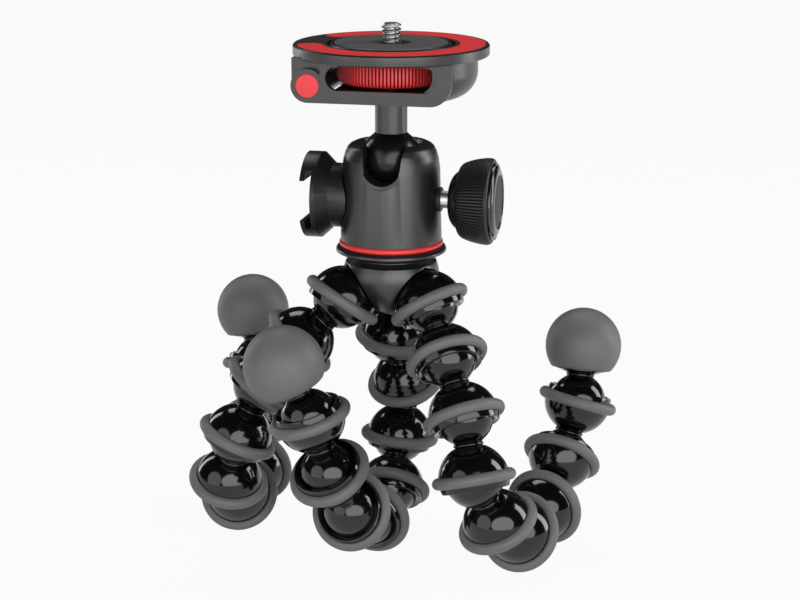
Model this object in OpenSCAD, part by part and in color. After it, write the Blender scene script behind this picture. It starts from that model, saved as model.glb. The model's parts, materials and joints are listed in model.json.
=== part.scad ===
// Flexible leg tripod: three legs of ball-and-cup segments, a hub, a panning ball head with a
// drop notch, a lock knob and an accessory shoe, and a camera platform that flips to portrait.
// Millimetres, +Z up. The origin is on the floor, under the axis of the head.

/* [Leg chain] */
// Distance from one ball centre to the next
pitch = 19; // [18.6:0.1:21]
// Diameter of a leg ball
leg_ball_d = 18; // [15:0.1:18.2]
// Gap between a ball and its socket
leg_ball_gap = 0.2; // [0.1:0.05:0.3]
// Outer diameter of a cup's dome
dome_d = 21.6; // [20.8:0.1:22.4]
// Diameter of the neck between ball and dome
neck_d = 8.4; // [6:0.1:8.8]
// Diameter of the collar round the neck
collar_d = 9.2; // [8.9:0.1:9.4]
// Height of the collar
collar_h = 0.8; // [0.4:0.1:1]
// Height of the socket's mouth past the ball's centre
mouth_h = 3; // [2.2:0.1:3.2]
// Height of the flared lip past the mouth
lip_h = 0.5; // [0.3:0.1:0.8]
// Slope of the lip, outwards for each unit of height
lip_slope = 2; // [1.5:0.1:2.5]

/* [Grip rings] */
// Outer diameter of a grip ring
ring_d = 25.7; // [25:0.1:26.4]
// Diameter of the ring's round section
ring_tube_d = 3.6; // [3:0.1:4]
// Diameter of the seat that the ring is moulded onto
ring_seat_d = 20.4; // [20:0.1:20.6]
// Distance from the ball's centre to the ring's plane
ring_shift = 0; // [-0.3:0.1:0.3]
// Gap between two pieces that are fitted to each other
fit_gap = 0.05; // [0.02:0.01:0.08]

/* [Feet] */
// Diameter of the round foot cap
foot_d = 24.6; // [22:0.1:26]
// Distance from the foot's ball to the middle of its cap
foot_len = 18.2; // [17.6:0.1:21]
// Distance from the middle of the cap to its flat underside
foot_flat = 7.8; // [7:0.1:8]
// Diameter of the peg inside the cap
foot_peg_d = 10; // [7:0.1:12]
// Length of the peg
foot_peg_h = 6.6; // [4:0.1:10]
// Diameter of the dish under the cap
foot_dish_d = 16.6; // [14:0.1:18]

/* [Hub] */
// Distance of each socket's centre from the head's axis
hub_socket_r = 16; // [15.5:0.1:18]
// Distance of each socket's centre below the hub's top
hub_socket_drop = 13.8; // [13:0.1:16]
// Angle of each socket below the horizontal
hub_socket_angle = 55; // [50:1:60]
// Diameter of the hub's neck, under the pan flange
hub_neck_d = 24.4; // [20:0.1:28]
// Diameter of the hub's core at its shoulder
hub_core_d = 29.6; // [28.2:0.1:31]
// Diameter of the core at its lower end
hub_tip_d = 22.4; // [18:0.1:26]
// Height of the slope between neck and shoulder
hub_slope_h = 2.4; // [1.5:0.1:4]
// Clear space between the core and the domes of the sockets
hub_groove = 0.7; // [0.3:0.1:1.2]
// Diameter of the arms that carry the sockets
hub_arm_d = 17; // [14:0.1:19]
// Depth of the hub's core below its top
hub_core_h = 17; // [15:0.1:18]

/* [Pan base] */
// Diameter of the black pan flange
flange_d = 34.5; // [32.8:0.1:38]
// Thickness of the pan flange
flange_t = 3; // [2:0.1:5]
// Diameter of the red pan ring
pan_ring_d = 32.4; // [30:0.1:34]
// Thickness of the pan ring
pan_ring_t = 1.8; // [1:0.1:3]
// Running gap between the pan ring and the housing
pan_gap = 0.1; // [0.05:0.05:0.3]
// Diameter of the pan bolt
pan_bolt_d = 6; // [4:0.1:8]
// Diameter of the pan bolt's head
pan_bolt_head_d = 11; // [9.5:0.1:14]
// Height of the pan bolt's head
pan_bolt_head_h = 2.6; // [2:0.1:2.7]
// Depth of the pan bolt in the hub
pan_bolt_depth = 9; // [6:0.1:10]
// Thickness of the spring washer under the bolt's head
washer_t = 1; // [0.5:0.1:1.1]
// Diameter of the spring washer
washer_d = 13; // [12:0.1:16]
// Running gap round shafts that turn
run_gap = 0.1; // [0.05:0.01:0.15]

/* [Ball head] */
// Diameter of the housing
housing_d = 31.5; // [29:0.1:34]
// Height of the housing
housing_h = 30.4; // [29.8:0.1:34]
// Radius of the housing's round shoulder
shoulder_r = 8.6; // [8.2:0.1:12]
// Height of the round shoulder
shoulder_h = 8; // [4:0.1:8.1]
// Diameter of the housing's bore
bore_d = 20.4; // [20:0.1:22]
// Diameter of the opening at the housing's top
opening_d = 18; // [17.4:0.1:18.2]
// Diameter of the ball
ball_d = 19; // [18.6:0.1:19.4]
// Distance of the ball's centre below the housing's top
ball_drop = 5.3; // [5:0.1:5.7]
// Gap between the ball and its seats
seat_gap = 0.3; // [0.25:0.05:0.4]
// Height of the upper seat ring
upper_seat_h = 3; // [2:0.1:3.6]
// Thickness of the plug that closes the housing's base
plug_t = 3.5; // [2.5:0.1:3.6]
// Distance of the brake cup's top below the ball's centre
brake_drop = 4.2; // [4.1:0.1:6]
// Height of the brake cup's foot above the housing's base
brake_z = 7.4; // [7.3:0.1:7.8]
// Diameter of the stem
stem_d = 9.6; // [8:0.1:10]
// Height of the top of the stem above the ball's centre
stem_h = 19.6; // [18.4:0.1:30]
// Diameter of the stem's spigot inside the ball
spigot_d = 6; // [4:0.1:7]
// Depth of the spigot below the ball's top
spigot_h = 7; // [4:0.1:10]
// Gap on each side of the stem in the drop notch
notch_gap = 1.2; // [0.3:0.1:1.4]
// Width of the bevel round the notch
notch_bevel = 1.1; // [0.5:0.1:1.5]

/* [Lock knob] */
// Height of the knob and shoe axis above the housing's base
side_axis_h = 13; // [12.6:0.1:13.1]
// Diameter of the lock shaft
shaft_d = 5.4; // [4:0.1:5.6]
// Distance of the shaft's tip from the head's axis
shaft_tip_x = 5; // [4.8:0.1:7]
// Outer diameter of the bush round the shaft
bush_d = 7.6; // [7:0.1:10]
// How far the bush stands out of the housing
bush_out = 0.2; // [0.1:0.1:1.6]
// Gap between the housing and the knob
knob_gap = 3.4; // [2:0.1:4]
// Diameter of the knob's narrow end
knob_root_d = 9.8; // [8:0.1:12]
// Diameter of the cone at the grip
knob_cone_d = 20; // [18.6:0.1:20.6]
// Length of the knob's cone
knob_cone_h = 3.2; // [2:0.1:5]
// Diameter of the grip at its narrow end
grip_d1 = 21; // [20.6:0.1:23]
// Diameter of the grip at its wide end
grip_d2 = 26.8; // [24:0.1:29]
// Length of the grip
grip_h = 9; // [6:0.1:12]
// Diameter of the knob's core inside the grip
knob_core_d = 18.6; // [12:0.1:19.5]
// Diameter of the knob's end cap
cap_d = 24.6; // [21:0.1:26]
// Thickness of the end cap
cap_t = 2.6; // [2:0.1:4]
// Diameter of the end cap's raised face
cap_face_d = 22; // [16:0.1:22.5]

/* [Accessory shoe] */
// Diameter of the shoe's boss
shoe_boss_d = 20; // [16:0.1:22]
// Distance of the boss's end from the head's axis
shoe_boss_x = 18; // [17:0.1:22]
// Diameter of the shoe's plate
shoe_plate_d = 26.8; // [26:0.1:30]
// Length of the cone between boss and plate
shoe_cone_h = 3.6; // [2:0.1:5]
// Thickness of the shoe's plate
shoe_plate_t = 1.2; // [1:0.1:3]
// Width of the slot, a standard shoe
shoe_slot_w = 18.6; // [18.5:0.05:18.8]
// Height of the slot, a standard shoe
shoe_slot_h = 2.1; // [2:0.05:2.2]
// Gap between the two lips, a standard shoe
shoe_lip_gap = 12.5; // [12:0.1:13]
// Thickness of the lips
shoe_lip_t = 1.4; // [1:0.1:2]
// Diameter of the shoe's screw
shoe_screw_d = 4; // [3:0.1:5]
// Diameter of the shoe screw's head
shoe_screw_head_d = 7.6; // [6.5:0.1:9]

/* [Cradle] */
// Radius of the cradle's bowl
bowl_r = 26.5; // [26:0.1:28]
// Height of the cradle
cradle_h = 12.5; // [12.3:0.1:14]
// Radius of the bowl's round lower edge
bowl_edge_r = 8; // [4:0.1:9]
// Wall of the bowl
bowl_wall = 2.2; // [1.5:0.1:2.5]
// Thickness of the cradle's floor
cradle_floor = 2.3; // [1.5:0.1:2.6]
// Distance of a cheek's inner face from the axis
cheek_y = 16.9; // [16.8:0.1:17.6]
// Thickness of a cheek
cheek_t = 2.1; // [1.6:0.1:2.6]
// Right end of the cheeks
cheek_x = 22.2; // [20:0.1:23]
// Radius of the cheeks' lower right corner
cheek_corner_r = 6.5; // [2:0.1:7]
// Radius of the boss round the hinge pin
boss_r = 5.1; // [4.6:0.1:5.3]
// Distance of the hinge pin from the head's axis
pin_x = 21.6; // [21.4:0.1:22]
// Clear space between the hinge boss and the platform's full-height cheek
boss_step = 3.9; // [3.6:0.1:4.2]
// Left end of the finger slot
slot_x1 = 16; // [15:0.1:16.2]
// Right end of the finger slot
slot_x2 = 18; // [16:0.1:18.4]
// Height of the finger slot's lower edge
slot_z = 3.9; // [3.2:0.1:4.2]
// Height of the finger slot
slot_h = 7.6; // [6:0.1:7.8]
// Diameter of the hinge pin
pin_d = 4; // [3:0.1:5]
// Diameter of the red pin caps
pin_cap_d = 7.1; // [6:0.1:8]
// Depth of the caps in the cheeks
pin_cap_in = 0.5; // [0.3:0.1:0.8]
// How far the caps stand proud
pin_cap_out = 0.15; // [0.1:0.05:0.4]
// Diameter of the screw that holds the cradle on the stem
stem_screw_d = 4; // [3:0.1:5]
// Diameter of that screw's head
stem_screw_head_d = 8.5; // [7:0.1:10]
// Height of that screw's head
stem_screw_head_h = 1.5; // [1:0.1:1.6]
// Depth of that screw in the stem
stem_screw_depth = 9; // [5:0.1:10]

/* [Platform] */
// Diameter of the platform disc
plate_d = 60; // [58:0.1:64]
// Thickness of the platform disc
plate_t = 3.4; // [3:0.1:5]
// Bevel on the edge of the disc
plate_bevel = 0.4; // [0.2:0.1:0.8]
// Gap between the closed platform and the cradle
flip_gap = 0.2; // [0.1:0.05:0.4]
// Left side of the hinge block, from the pin
block_x1 = 5.4; // [5:0.1:5.6]
// Right side of the hinge block, from the pin
block_x2 = 4; // [3.5:0.1:4.2]
// Gap between the hinge block and each cheek
block_gap = 0.4; // [0.2:0.1:0.8]
// Outer radius of the red inlay
inlay_r2 = 29; // [26:0.1:29.2]
// Inner radius of the red inlay
inlay_r1 = 20.8; // [20.6:0.1:23]
// Thickness of the red inlay
inlay_t = 0.8; // [0.5:0.1:1.4]
// Open angle of the C between the middles of its round ends
inlay_open = 58; // [50:1:90]
// Direction of the C's opening
inlay_heading = 173; // [150:1:190]
// Radius of the rubber pad
pad_r = 18.4; // [14:0.1:18.8]
// Width of the groove round the pad
pad_groove = 1.2; // [0.5:0.1:1.5]
// Depth of the pad in the disc
pad_in = 1.6; // [1:0.1:2]
// How far the pad stands proud of the disc
pad_out = 0.6; // [0.3:0.1:1.2]
// Radius of the recess round the screw
screw_recess_r = 6; // [5.5:0.1:8]
// Diameter of the camera screw, 1/4 inch
screw_d = 6.35; // [6.3:0.05:6.4]
// Diameter of the camera screw's neck in the disc
screw_neck_d = 5; // [4:0.1:6]
// How far the camera screw stands out of the pad
screw_out = 5.6; // [4.5:0.1:6]
// Diameter of the clip that holds the screw in the disc
clip_d = 10; // [8:0.1:11]
// Thickness of the clip
clip_t = 0.8; // [0.5:0.1:1]
// Diameter of the thumbwheel
wheel_d = 32.8; // [30:0.1:33]
// Height of the thumbwheel
wheel_h = 7.6; // [5:0.1:7.8]
// Gap between the thumbwheel and the disc
wheel_gap = 0.7; // [0.3:0.1:0.8]
// Radius of the thumbwheel's round lower edge
wheel_edge_r = 1.6; // [0.5:0.1:3]
// Depth of a rib on the thumbwheel
rib_h = 0.5; // [0.3:0.1:0.8]
// Number of ribs on the thumbwheel
rib_count = 48; // [24:4:60]

/* [Hidden] */
$fn = 64;
// Reach of a cut past the face that it opens
cut = 1;
segments = 8;
leg_names = ["right", "back", "left"];

// Heading and dip of each segment, hub socket first and foot last, as the legs are posed
leg_right = [
    [-30, hub_socket_angle], [-55, 45], [-50, 55], [-50, 70], [48, 60], [75, 27], [75, -6], [75, -42],
    [50, -70], [80, -75]
];
leg_back = [
    [90, hub_socket_angle], [140, 78], [75, 64], [-130, 82], [-90, 45], [-97, 10], [-98, -25],
    [-114, -55], [-155, -72], [-165, -65]
];
leg_left = [
    [-150, hub_socket_angle], [-170, 45], [-168, 50], [-168, 65], [130, 65], [95, 32], [90, -7],
    [96, -46], [108, -77], [136, -77]
];
legs = [leg_right, leg_back, leg_left];

socket_r = leg_ball_d / 2 + leg_ball_gap;
mouth_r = sqrt(pow(socket_r, 2) - pow(mouth_h, 2));
neck_mid = (leg_ball_d / 2 + pitch - dome_d / 2) / 2;
ring_c = (ring_d - ring_tube_d) / 2;

// Unit vector of a segment, its ball centre, and the lowest point of its ring
function along(aim) = [cos(aim[0]) * cos(aim[1]), sin(aim[0]) * cos(aim[1]), -sin(aim[1])];
function centre(leg, i) = i == 0
    ? [hub_socket_r * cos(leg[0][0]), hub_socket_r * sin(leg[0][0]), -hub_socket_drop]
    : centre(leg, i - 1) + pitch * along(leg[i]);
function ring_low(leg, i) = centre(leg, i)[2] - ring_shift * sin(leg[i][1])
    - ring_c * abs(cos(leg[i][1])) - ring_tube_d / 2;

// Height of the hub's top above the floor, and the levels of the head above it
hub_top = -min([for (leg = legs, i = [1:segments]) ring_low(leg, i)]);
ring_z = hub_top + flange_t;
housing_z = ring_z + pan_ring_t + pan_gap;
ball_z = housing_z + housing_h - ball_drop;
side_z = housing_z + side_axis_h;
cradle_z = ball_z + stem_h;
pin_z = cradle_z + boss_r;
plate_z = cradle_z + cradle_h + flip_gap;
plate_top = plate_z + plate_t;
pad_z = plate_top - pad_in;
wheel_z = plate_z - wheel_gap - wheel_h;
washer_z = housing_z + plug_t;
bolt_head_z = washer_z + washer_t + fit_gap;
ball_flat = sqrt(pow(ball_d / 2, 2) - pow(stem_d / 2, 2));
seat_top_h = sqrt(pow(ball_d / 2 + seat_gap, 2) - pow(opening_d / 2, 2));
knob_x = housing_d / 2 + knob_gap;
grip_x = knob_x + knob_cone_h;
shoe_plate_x = shoe_boss_x + shoe_cone_h;
shoe_face_x = shoe_plate_x + shoe_plate_t;
inlay_mid_r = (inlay_r1 + inlay_r2) / 2;
inlay_w = inlay_r2 - inlay_r1;

// Colours as the photograph shows them
gloss_black = "#161617";
grip_grey = "#5c5c5e";
head_grey = "#636466";
dark_grey = "#2c2c2e";
signal_red = "#d8363a";
steel = "#b9babd";

// Puts a piece on a leg: its ball at the centre of the cup before it, +Z along its aim
module on_leg(leg, i) {
    translate([0, 0, hub_top] + centre(leg, i - 1))
        rotate([0, 90 + leg[i][1], leg[i][0]])
            children();
}

// Puts a piece on a hub socket, with the origin at the socket's centre
module on_socket(leg) {
    translate([0, 0, hub_top] + centre(leg, 0))
        rotate([0, 90 + leg[0][1], leg[0][0]])
            children();
}

// Turns +Z to +X at the height of the lock shaft, or to -X for the shoe
module side_axis(heading) {
    translate([0, 0, side_z])
        rotate([0, 90, heading])
            children();
}

// The round section of a ring, cut off at its seat, wider all round by a gap
module ring_section(gap) {
    intersection() {
        translate([ring_c, 0])
            circle(d = ring_tube_d + 2 * gap);
        translate([ring_seat_d / 2 - gap, -ring_d / 2])
            square(ring_d);
    }
}

// A grip ring round a cup whose centre is at the origin
module grip_ring() {
    color(grip_grey)
        translate([0, 0, ring_shift])
            rotate_extrude()
                ring_section(0);
}

// The outside of a cup, open upwards
module cup_outside() {
    difference() {
        sphere(d = dome_d);
        translate([0, 0, mouth_h + lip_h])
            cylinder(d = dome_d + cut, h = dome_d);
    }
}

// What a cup leaves free: the socket, the flared lip and the seat of its ring
module cup_inside() {
    sphere(r = socket_r);
    translate([0, 0, mouth_h - lip_h])
        cylinder(
            r1 = mouth_r - lip_h * lip_slope,
            r2 = mouth_r + (lip_h + cut) * lip_slope,
            h = 2 * lip_h + cut
        );
    translate([0, 0, ring_shift])
        rotate_extrude()
            ring_section(fit_gap);
}

// A moulded leg segment: ball, neck with its collar, and cup, with the grip ring on the cup
module segment() {
    color(gloss_black)
        difference() {
            union() {
                sphere(d = leg_ball_d);
                cylinder(d = neck_d, h = pitch - (dome_d / 2 + socket_r) / 2);
                translate([0, 0, neck_mid - collar_h / 2])
                    cylinder(d = collar_d, h = collar_h);
                translate([0, 0, pitch])
                    cup_outside();
            }
            translate([0, 0, pitch])
                cup_inside();
        }
    translate([0, 0, pitch])
        grip_ring();
}

// The core of a foot: ball, neck, a dish under the cap and a peg inside it
module foot() {
    foot_seat = foot_len - foot_flat;
    color(gloss_black) {
        sphere(d = leg_ball_d);
        cylinder(d = neck_d, h = foot_seat - fit_gap);
        translate([0, 0, neck_mid])
            cylinder(d1 = collar_d, d2 = foot_dish_d, h = foot_seat - fit_gap - neck_mid);
        cylinder(d = foot_peg_d, h = foot_seat + foot_peg_h);
    }
}

// The round rubber cap of a foot
module foot_cap() {
    foot_seat = foot_len - foot_flat;
    color(grip_grey)
        difference() {
            translate([0, 0, foot_len])
                sphere(d = foot_d);
            translate([0, 0, foot_seat - foot_d])
                cylinder(d = foot_d + cut, h = foot_d);
            cylinder(d = foot_peg_d + 2 * fit_gap, h = foot_seat + foot_peg_h + fit_gap);
        }
}

// The hub's core, hollowed round the domes of the sockets so that three aprons hang between them
module hub_core() {
    difference() {
        translate([0, 0, hub_top])
            rotate_extrude()
                polygon([
                    [0, 0], [hub_neck_d / 2, 0], [hub_core_d / 2, -hub_slope_h],
                    [hub_core_d / 2, -hub_core_h / 2], [hub_tip_d / 2, -hub_core_h], [0, -hub_core_h]
                ]);
        for (leg = legs)
            on_socket(leg)
                sphere(d = dome_d + 2 * hub_groove);
    }
}

// The hub: the core and three arms with socket cups
module hub() {
    color(gloss_black)
        difference() {
            union() {
                hub_core();
                for (leg = legs) {
                    on_socket(leg)
                        mirror([0, 0, 1])
                            cylinder(d = hub_arm_d, h = hub_socket_r);
                    on_socket(leg)
                        cup_outside();
                }
            }
            for (leg = legs)
                on_socket(leg)
                    cup_inside();
            translate([0, 0, hub_top])
                cylinder(d = 2 * flange_d, h = flange_d);
            translate([0, 0, hub_top - pan_bolt_depth - fit_gap])
                cylinder(d = pan_bolt_d + 2 * fit_gap, h = pan_bolt_depth + cut);
        }
}

// The three grip rings on the hub's cups
module hub_rings() {
    for (leg = legs)
        on_socket(leg)
            grip_ring();
}

// A disc with a round rim and a hole for the pan bolt
module rimmed_disc(d, t) {
    rotate_extrude()
        difference() {
            union() {
                square([(d - t) / 2, t]);
                translate([(d - t) / 2, t / 2])
                    circle(d = t);
            }
            translate([-cut, -cut])
                square([cut + pan_bolt_d / 2 + run_gap, t + 2 * cut]);
        }
}

// The black flange that the head pans on
module pan_flange() {
    color(gloss_black)
        translate([0, 0, hub_top])
            rimmed_disc(flange_d, flange_t);
}

// The red friction ring between flange and housing
module pan_ring() {
    color(signal_red)
        translate([0, 0, ring_z])
            rimmed_disc(pan_ring_d, pan_ring_t);
}

// The bolt that the head turns on
module pan_bolt() {
    color(steel) {
        translate([0, 0, bolt_head_z])
            cylinder(d = pan_bolt_head_d, h = pan_bolt_head_h);
        translate([0, 0, hub_top - pan_bolt_depth])
            cylinder(d = pan_bolt_d, h = bolt_head_z - hub_top + pan_bolt_depth + pan_bolt_head_h / 2);
    }
}

// The spring washer under the bolt's head
module pan_washer() {
    color(steel)
        translate([0, 0, washer_z])
            difference() {
                cylinder(d = washer_d, h = washer_t);
                translate([0, 0, -cut])
                    cylinder(d = pan_bolt_d + 2 * run_gap, h = washer_t + 2 * cut);
            }
}

// The plug that closes the housing from below
module base_plug() {
    color(dark_grey)
        translate([0, 0, housing_z])
            difference() {
                cylinder(d = bore_d - 2 * fit_gap, h = plug_t);
                translate([0, 0, -cut])
                    cylinder(d = pan_bolt_d + 2 * run_gap, h = plug_t + 2 * cut);
            }
}

// The notch that the stem drops into, towards -Y, wider all round by a margin
module drop_notch(margin) {
    notch_r = stem_d / 2 + notch_gap + margin;
    translate([0, 0, ball_z])
        rotate([90, 0, 0])
            cylinder(r = notch_r, h = housing_d);
    translate([-notch_r, -housing_d, ball_z])
        cube([2 * notch_r, housing_d, housing_h]);
}

// The housing: a bored shell with a round shoulder, an opening at the top and the drop notch
module housing() {
    seat_z = ball_z + seat_top_h;
    funnel_h = housing_z + housing_h - seat_z + cut;
    color(head_grey)
        difference() {
            translate([0, 0, housing_z])
                rotate_extrude()
                    union() {
                        square([housing_d / 2, housing_h - shoulder_h]);
                        intersection() {
                            translate([housing_d / 2 - shoulder_r, housing_h - shoulder_h])
                                circle(r = shoulder_r);
                            square([housing_d / 2, housing_h]);
                        }
                    }
            translate([0, 0, housing_z - cut])
                cylinder(d = bore_d, h = seat_z - housing_z + cut);
            translate([0, 0, seat_z - cut])
                cylinder(d = opening_d, h = housing_h);
            translate([0, 0, seat_z])
                cylinder(d1 = opening_d, d2 = opening_d + funnel_h, h = funnel_h);
            drop_notch(0);
            intersection() {
                drop_notch(notch_bevel);
                translate([-housing_d, -housing_d, housing_z])
                    cube([2 * housing_d, housing_d / 2 + notch_bevel, 2 * housing_h]);
            }
            side_axis(0)
                cylinder(d = bush_d + 2 * fit_gap, h = housing_d);
            side_axis(180)
                cylinder(d = shoe_screw_d + 2 * fit_gap, h = housing_d);
        }
}

// The plastic ring that the ball turns against
module upper_seat() {
    color(dark_grey)
        difference() {
            translate([0, 0, ball_z + seat_top_h - fit_gap - upper_seat_h])
                cylinder(d = bore_d - 2 * fit_gap, h = upper_seat_h);
            translate([0, 0, ball_z])
                sphere(d = ball_d + 2 * seat_gap);
            drop_notch(0);
        }
}

// The plastic cup that the lock shaft wedges up against the ball
module brake_cup() {
    color(dark_grey)
        difference() {
            translate([0, 0, housing_z + brake_z])
                cylinder(d = bore_d - 2 * run_gap, h = ball_z - brake_drop - housing_z - brake_z);
            translate([0, 0, ball_z])
                sphere(d = ball_d + 2 * seat_gap);
            side_axis(0)
                translate([0, 0, shaft_tip_x - seat_gap])
                    cylinder(d = shaft_d + 4 * seat_gap, h = housing_d);
            drop_notch(0);
        }
}

// The ball, with a flat and a bore for the stem
module ball() {
    color(dark_grey)
        translate([0, 0, ball_z])
            difference() {
                sphere(d = ball_d);
                translate([0, 0, ball_flat])
                    cylinder(d = ball_d, h = ball_d);
                translate([0, 0, ball_flat - spigot_h - fit_gap])
                    cylinder(d = spigot_d + 2 * run_gap, h = ball_d);
            }
}

// The stem, with a spigot in the ball and a tapped hole at the top
module stem() {
    color(head_grey)
        translate([0, 0, ball_z])
            difference() {
                union() {
                    translate([0, 0, ball_flat - spigot_h])
                        cylinder(d = spigot_d, h = spigot_h + cut);
                    translate([0, 0, ball_flat + fit_gap])
                        cylinder(d = stem_d, h = stem_h - ball_flat - fit_gap);
                }
                translate([0, 0, stem_h - stem_screw_depth - fit_gap])
                    cylinder(d = stem_screw_d + 2 * fit_gap, h = stem_screw_depth + cut);
            }
}

// The steel shaft of the lock, with a tapered tip
module lock_shaft() {
    tip_h = shaft_d / 2;
    color(steel)
        side_axis(0) {
            translate([0, 0, shaft_tip_x])
                cylinder(d1 = shaft_d / 3, d2 = shaft_d, h = tip_h);
            translate([0, 0, shaft_tip_x + tip_h])
                cylinder(d = shaft_d, h = grip_x - shaft_tip_x - tip_h);
        }
}

// The dark bush that the shaft turns in
module shaft_bush() {
    color(dark_grey)
        side_axis(0)
            translate([0, 0, bore_d / 2 + fit_gap])
                difference() {
                    cylinder(d = bush_d, h = (housing_d - bore_d) / 2 + bush_out);
                    translate([0, 0, -cut])
                        cylinder(d = shaft_d + 2 * run_gap, h = housing_d);
                }
}

// The knob's cone and the core that carries grip and cap
module knob_body() {
    color(gloss_black)
        side_axis(0)
            difference() {
                union() {
                    translate([0, 0, knob_x])
                        cylinder(d1 = knob_root_d, d2 = knob_cone_d, h = knob_cone_h);
                    translate([0, 0, grip_x])
                        cylinder(d = knob_core_d, h = grip_h);
                }
                translate([0, 0, knob_x - cut])
                    cylinder(d = shaft_d + 2 * fit_gap, h = knob_cone_h + cut + fit_gap);
            }
}

// The grip sleeve, wider towards the end of the knob
module knob_grip() {
    color(dark_grey)
        side_axis(0)
            translate([0, 0, grip_x + fit_gap])
                difference() {
                    cylinder(d1 = grip_d1, d2 = grip_d2, h = grip_h - 2 * fit_gap);
                    translate([0, 0, -cut])
                        cylinder(d = knob_core_d + 2 * fit_gap, h = grip_h + 2 * cut);
                }
}

// The stepped cap on the knob's end
module knob_cap() {
    color(gloss_black)
        side_axis(0)
            translate([0, 0, grip_x + grip_h]) {
                cylinder(d1 = cap_d, d2 = cap_face_d, h = cap_t * 2 / 3);
                cylinder(d = cap_face_d, h = cap_t);
            }
}

// The accessory shoe: boss, cone, plate and two hooked rails, with the slot along Y
module accessory_shoe() {
    rail_h = shoe_slot_h + shoe_lip_t;
    color(dark_grey)
        difference() {
            side_axis(180) {
                difference() {
                    union() {
                        cylinder(d = shoe_boss_d, h = shoe_boss_x);
                        translate([0, 0, shoe_boss_x])
                            cylinder(d1 = shoe_boss_d, d2 = shoe_plate_d, h = shoe_cone_h);
                        translate([0, 0, shoe_plate_x])
                            cylinder(d = shoe_plate_d, h = shoe_plate_t + rail_h);
                    }
                    translate([-shoe_slot_w / 2, -shoe_plate_d, shoe_face_x])
                        cube([shoe_slot_w, 2 * shoe_plate_d, shoe_slot_h]);
                    translate([-shoe_lip_gap / 2, -shoe_plate_d, shoe_face_x])
                        cube([shoe_lip_gap, 2 * shoe_plate_d, rail_h + cut]);
                    cylinder(d = shoe_screw_d + 2 * fit_gap, h = shoe_face_x + cut);
                    translate([0, 0, shoe_face_x - (shoe_screw_head_d - shoe_screw_d) / 2])
                        cylinder(
                            d1 = shoe_screw_d + 2 * fit_gap,
                            d2 = shoe_screw_head_d + 2 * fit_gap + 2 * cut,
                            h = (shoe_screw_head_d - shoe_screw_d) / 2 + cut
                        );
                }
            }
            translate([0, 0, housing_z])
                cylinder(d = housing_d + 2 * fit_gap, h = housing_h);
        }
}

// The countersunk screw that holds the shoe on the housing
module shoe_screw() {
    head_h = (shoe_screw_head_d - shoe_screw_d) / 2;
    color(steel)
        side_axis(180) {
            translate([0, 0, bore_d / 2 + fit_gap])
                cylinder(d = shoe_screw_d, h = shoe_face_x - bore_d / 2 - fit_gap);
            translate([0, 0, shoe_face_x - head_h])
                cylinder(d1 = shoe_screw_d, d2 = shoe_screw_head_d, h = head_h);
        }
}

// The outline of a cheek, seen from the front, with its lower left corner at the pin
module cheek_outline() {
    right_w = pin_x + cheek_x;
    slot_r = slot_h / 2;
    difference() {
        union() {
            translate([0, boss_r])
                circle(r = boss_r);
            square([right_w - cheek_corner_r, boss_r]);
            translate([boss_step, 0])
                square([right_w - cheek_corner_r - boss_step, cradle_h]);
            translate([right_w - cheek_corner_r, cheek_corner_r])
                square([cheek_corner_r, cradle_h - cheek_corner_r]);
            intersection() {
                translate([right_w - cheek_corner_r, cheek_corner_r])
                    circle(r = cheek_corner_r);
                square([right_w, cradle_h]);
            }
        }
        translate([pin_x - slot_x1 + slot_r, slot_z])
            square([slot_x1 + slot_x2 - slot_h, slot_h]);
        for (x = [pin_x - slot_x1 + slot_r, pin_x + slot_x2 - slot_r])
            translate([x, slot_z + slot_r])
                circle(r = slot_r);
        translate([0, boss_r])
            circle(d = pin_d + 2 * fit_gap);
    }
}

// The section of the bowl: a floor and a wall that meet in a round edge
module bowl_section(r, floor_z, edge_r) {
    translate([0, floor_z])
        square([r - edge_r, cradle_h]);
    translate([0, floor_z + edge_r])
        square([r, cradle_h]);
    translate([r - edge_r, floor_z + edge_r])
        circle(r = edge_r);
}

// The cradle: a bowl that is open at the left, between two cheeks with finger slots
module cradle() {
    inner_r = bowl_r - bowl_wall;
    open_x = pin_x - boss_r - flip_gap;
    color(head_grey)
        difference() {
            translate([0, 0, cradle_z])
                union() {
                    intersection() {
                        rotate_extrude()
                            intersection() {
                                difference() {
                                    bowl_section(bowl_r, 0, bowl_edge_r);
                                    bowl_section(inner_r, cradle_floor, bowl_edge_r - bowl_wall);
                                }
                                square([bowl_r, cradle_h]);
                            }
                        translate([-open_x, -cheek_y - cheek_t / 2, 0])
                            cube([open_x + bowl_r, 2 * cheek_y + cheek_t, cradle_h]);
                    }
                    for (y = [-cheek_y, cheek_y + cheek_t])
                        translate([-pin_x, y, 0])
                            rotate([90, 0, 0])
                                linear_extrude(cheek_t)
                                    cheek_outline();
                }
            for (y = [-1, 1])
                translate([-pin_x, y * (cheek_y + cheek_t - pin_cap_in), pin_z])
                    rotate([-90 * y, 0, 0])
                        cylinder(d = pin_cap_d + 2 * fit_gap, h = cut);
            translate([0, 0, cradle_z - cut])
                cylinder(d = stem_screw_d + 2 * fit_gap, h = cradle_floor + 2 * cut);
        }
}

// The screw that holds the cradle on the stem
module stem_screw() {
    color(steel) {
        translate([0, 0, cradle_z - stem_screw_depth])
            cylinder(d = stem_screw_d, h = stem_screw_depth + cradle_floor + stem_screw_head_h / 2);
        translate([0, 0, cradle_z + cradle_floor])
            cylinder(d = stem_screw_head_d, h = stem_screw_head_h);
    }
}

// The hinge pin through both cheeks and the platform's block
module hinge_pin() {
    half = cheek_y + cheek_t - pin_cap_in - fit_gap;
    color(steel)
        translate([-pin_x, half, pin_z])
            rotate([90, 0, 0])
                cylinder(d = pin_d, h = 2 * half);
}

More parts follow.
